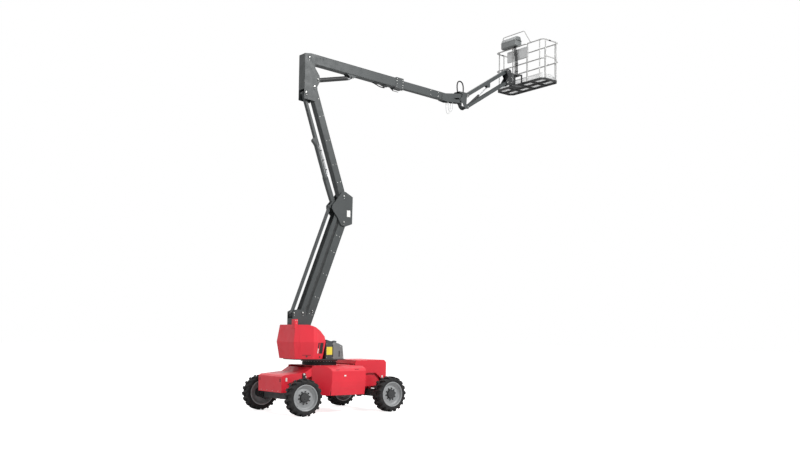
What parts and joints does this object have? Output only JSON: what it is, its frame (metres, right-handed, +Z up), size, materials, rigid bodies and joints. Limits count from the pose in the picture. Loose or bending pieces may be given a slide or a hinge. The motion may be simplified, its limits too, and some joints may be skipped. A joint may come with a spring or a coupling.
{
  "type": "articulating boom lift",
  "caption": "Articulating boom lift: wheeled chassis, slewing turret, folding risers, telescopic boom, jib and railed work platform.",
  "frame": {"origin": "on the ground, on the centre line, midway between the axles", "axes": "+Z up, +X towards the fixed axle and the side the booms reach over, -Y the near side; every boom stands in the XZ plane"},
  "size_m": [9.0724, 2.3864, 10.773],
  "materials": {
    "red_paint": "gloss",
    "charcoal_paint": "satin",
    "black_paint": "satin",
    "rod_chrome": "polished",
    "grey_plastic": "semi-gloss",
    "panel_plastic": "matte",
    "rail_paint": "satin",
    "mesh_steel": "matte",
    "tyre_rubber": "matte",
    "rim_silver": "satin",
    "hose_black": "matte",
    "hose_clear": "satin"
  },
  "bodies": {
    "chassis": {"chassis_frame": "red_paint", "slew_bearing": "black_paint", "steer_end_cover": "red_paint", "fixed_end_cover": "red_paint", "deck_plate": "red_paint", "side_pod_near": "red_paint", "side_pod_far": "red_paint", "steer_axle": "black_paint", "fixed_axle": "black_paint"},
    "knuckle_near": {"steering_knuckle_near": "black_paint"},
    "knuckle_far": {"steering_knuckle_far": "black_paint"},
    "tie_rod": {"tie_rod": "black_paint"},
    "wheel_steer_near": {"tyre_steer_near": "tyre_rubber", "rim_steer_near": "rim_silver"},
    "wheel_steer_far": {"tyre_steer_far": "tyre_rubber", "rim_steer_far": "rim_silver"},
    "wheel_fixed_near": {"tyre_fixed_near": "tyre_rubber", "rim_fixed_near": "rim_silver"},
    "wheel_fixed_far": {"tyre_fixed_far": "tyre_rubber", "rim_fixed_far": "rim_silver"},
    "turret": {"turntable": "charcoal_paint", "counterweight": "red_paint", "hood_frame": "black_paint", "power_unit": "black_paint", "valve_box": "charcoal_paint", "fluid_tank": "grey_plastic"},
    "hood_near": {"hood_near": "red_paint"},
    "hood_far": {"hood_far": "red_paint"},
    "lower_arm": {"lower_arm": "charcoal_paint"},
    "riser_barrel": {"riser_barrel": "black_paint"},
    "riser_rod": {"riser_rod": "rod_chrome"},
    "rear_link": {"rear_link": "charcoal_paint"},
    "mid_link": {"mid_link": "charcoal_paint"},
    "mid_upright": {"mid_upright": "charcoal_paint"},
    "upper_arm": {"upper_arm": "charcoal_paint"},
    "upper_link": {"upper_link": "charcoal_paint"},
    "tower": {"tower": "charcoal_paint"},
    "main_boom": {"main_boom": "charcoal_paint"},
    "boom_barrel": {"boom_barrel": "black_paint"},
    "boom_rod": {"boom_rod": "rod_chrome"},
    "fly_boom": {"fly_boom": "charcoal_paint", "nose_loop_near": "hose_clear", "nose_loop_far": "hose_clear"},
    "jib_base": {"jib_base": "charcoal_paint", "hose_arch": "hose_black"},
    "jib_arm": {"jib_arm": "charcoal_paint"},
    "jib_link": {"jib_link": "charcoal_paint"},
    "jib_barrel": {"jib_barrel": "black_paint"},
    "jib_rod": {"jib_rod": "rod_chrome"},
    "platform_mount": {"platform_mount": "black_paint"},
    "platform": {"platform_frame": "black_paint", "platform_floor": "mesh_steel", "guard_rails": "rail_paint", "toe_boards": "mesh_steel", "console": "grey_plastic", "document_panel": "panel_plastic", "guard_loop": "rail_paint"},
    "entry_bar": {"entry_bar": "rail_paint"}
  },
  "joints": [
    {"name": "steer_near", "type": "hinge", "parent": "chassis", "child": "knuckle_near", "pos_m": [-1.2, -0.73, 0.42], "axis": [0, 0, 1], "range_deg": [-28, 42]},
    {"name": "steer_far", "type": "hinge", "parent": "chassis", "child": "knuckle_far", "pos_m": [-1.2, 0.73, 0.42], "axis": [0, 0, 1], "range_deg": [-28.5, 42.5]},
    {"name": "tie_rod_travel", "type": "slide", "parent": "chassis", "child": "tie_rod", "axis": [0, 1, 0], "range_m": [-0.09485, 0.14128]},
    {"name": "wheel_steer_near", "type": "hinge", "parent": "knuckle_near", "child": "wheel_steer_near", "pos_m": [-1.2329, -0.99799, 0.42], "axis": [0.1219, 0.9925, 0], "continuous": true},
    {"name": "wheel_steer_far", "type": "hinge", "parent": "knuckle_far", "child": "wheel_steer_far", "pos_m": [-1.1671, 0.99799, 0.42], "axis": [0.1219, 0.9925, 0], "continuous": true},
    {"name": "wheel_fixed_near", "type": "hinge", "parent": "chassis", "child": "wheel_fixed_near", "pos_m": [1.2, -1, 0.42], "axis": [0, 1, 0], "continuous": true},
    {"name": "wheel_fixed_far", "type": "hinge", "parent": "chassis", "child": "wheel_fixed_far", "pos_m": [1.2, 1, 0.42], "axis": [0, 1, 0], "continuous": true},
    {"name": "slew", "type": "hinge", "parent": "chassis", "child": "turret", "pos_m": [-0.15, 0, 1.192], "axis": [0, 0, 1], "continuous": true},
    {"name": "riser_lift", "type": "hinge", "parent": "turret", "child": "lower_arm", "pos_m": [-0.613, 0, 1.956], "axis": [0, -1, 0], "range_deg": [-67, 4]},
    {"name": "riser_cylinder_swing", "type": "hinge", "parent": "turret", "child": "riser_barrel", "pos_m": [-0.505, 0, 1.33], "axis": [0, -1, 0], "range_deg": [-26.25, 2.04]},
    {"name": "riser_cylinder_stroke", "type": "slide", "parent": "riser_barrel", "child": "riser_rod", "axis": [0.0537, 0, 0.9986], "range_m": [-0.29902, 0.01973]},
    {"name": "rear_link_swing", "type": "hinge", "parent": "turret", "child": "rear_link", "pos_m": [-0.96, 0, 2.311], "axis": [0, -1, 0], "range_deg": [-67.5, 4.5]},
    {"name": "mid_link_swing", "type": "hinge", "parent": "turret", "child": "mid_link", "pos_m": [-0.722, 0, 2.324], "axis": [0, -1, 0], "range_deg": [-67.5, 4.5]},
    {"name": "mid_upright_level", "type": "hinge", "parent": "lower_arm", "child": "mid_upright", "pos_m": [0.40865, 0, 4.56296], "axis": [0, -1, 0], "range_deg": [-4.5, 67.5]},
    {"name": "upper_arm_swing", "type": "hinge", "parent": "mid_upright", "child": "upper_arm", "pos_m": [0.40165, 0, 5.19896], "axis": [0, -1, 0], "range_deg": [-4.5, 67.5]},
    {"name": "upper_link_swing", "type": "hinge", "parent": "mid_upright", "child": "upper_link", "pos_m": [0.16465, 0, 5.01996], "axis": [0, -1, 0], "range_deg": [-4.5, 67.5]},
    {"name": "tower_level", "type": "hinge", "parent": "upper_arm", "child": "tower", "pos_m": [-0.51357, 0, 7.75929], "axis": [0, -1, 0], "range_deg": [-67.5, 4.5]},
    {"name": "boom_lift", "type": "hinge", "parent": "tower", "child": "main_boom", "pos_m": [-0.67257, 0, 8.44529], "axis": [0, -1, 0], "range_deg": [-4, 70]},
    {"name": "boom_cylinder_swing", "type": "hinge", "parent": "tower", "child": "boom_barrel", "pos_m": [-0.41957, 0, 7.94729], "axis": [0, -1, 0], "range_deg": [-4.06, 62.79]},
    {"name": "boom_cylinder_stroke", "type": "slide", "parent": "boom_barrel", "child": "boom_rod", "axis": [0.9694, 0, 0.2456], "range_m": [-0.03847, 0.64023]},
    {"name": "fly_extend", "type": "slide", "parent": "main_boom", "child": "fly_boom", "axis": [0.9994, 0, -0.0349], "range_m": [-1.35, 0.15]},
    {"name": "jib_base_level", "type": "hinge", "parent": "fly_boom", "child": "jib_base", "pos_m": [4.33421, 0, 8.26545], "axis": [0, -1, 0], "range_deg": [-70.5, 4.5]},
    {"name": "jib_lift", "type": "hinge", "parent": "jib_base", "child": "jib_arm", "pos_m": [4.57, 0, 8.475], "axis": [0, -1, 0], "range_deg": [-80, 33]},
    {"name": "jib_cylinder_swing", "type": "hinge", "parent": "jib_base", "child": "jib_barrel", "pos_m": [4.57, 0, 8.141], "axis": [0, -1, 0], "range_deg": [-72.55, 30.22]},
    {"name": "jib_cylinder_stroke", "type": "slide", "parent": "jib_barrel", "child": "jib_rod", "axis": [0.7594, 0, 0.6506], "range_m": [-0.40245, 0.16718]},
    {"name": "jib_link_swing", "type": "hinge", "parent": "jib_base", "child": "jib_link", "pos_m": [4.57, 0, 8.141], "axis": [0, -1, 0], "range_deg": [-80.5, 33.5]},
    {"name": "platform_level", "type": "hinge", "parent": "jib_arm", "child": "platform_mount", "pos_m": [6.14979, 0, 9.4737], "axis": [0, -1, 0], "range_deg": [-33.5, 80.5]},
    {"name": "platform_rotate", "type": "hinge", "parent": "platform_mount", "child": "platform", "pos_m": [6.42, 0, 9.27], "axis": [0, 0, 1], "range_deg": [-80, 80]},
    {"name": "entry_slide", "type": "slide", "parent": "platform", "child": "entry_bar", "axis": [0, 0, 1], "range_m": [0, 0.4]},
    {"name": "hood_near", "type": "hinge", "parent": "turret", "child": "hood_near", "pos_m": [-1, -0.208, 2.024], "axis": [-1, 0, 0], "range_deg": [0, 75]},
    {"name": "hood_far", "type": "hinge", "parent": "turret", "child": "hood_far", "pos_m": [-1, 0.208, 2.024], "axis": [1, 0, 0], "range_deg": [0, 75]}
  ],
  "couplings": [
    {"joint": "steer_far", "follows": "steer_near", "ratio": 1},
    {"joint": "tie_rod_travel", "follows": "steer_near", "m_per_rad": 0.19},
    {"joint": "riser_cylinder_swing", "follows": "riser_lift", "ratio": 0.3844},
    {"joint": "riser_cylinder_stroke", "follows": "riser_lift", "m_per_rad": 0.254},
    {"joint": "rear_link_swing", "follows": "riser_lift", "ratio": 1},
    {"joint": "mid_link_swing", "follows": "riser_lift", "ratio": 1},
    {"joint": "mid_upright_level", "follows": "riser_lift", "ratio": -1},
    {"joint": "upper_arm_swing", "follows": "riser_lift", "ratio": -1},
    {"joint": "upper_link_swing", "follows": "riser_lift", "ratio": -1},
    {"joint": "tower_level", "follows": "riser_lift", "ratio": 1},
    {"joint": "boom_cylinder_swing", "follows": "boom_lift", "ratio": 0.8898},
    {"joint": "boom_cylinder_stroke", "follows": "boom_lift", "m_per_rad": 0.5224},
    {"joint": "jib_base_level", "follows": "boom_lift", "ratio": -1},
    {"joint": "jib_cylinder_swing", "follows": "jib_lift", "ratio": 0.9006},
    {"joint": "jib_cylinder_stroke", "follows": "jib_lift", "m_per_rad": 0.2868},
    {"joint": "jib_link_swing", "follows": "jib_lift", "ratio": 1},
    {"joint": "platform_level", "follows": "jib_lift", "ratio": -1}
  ]
}
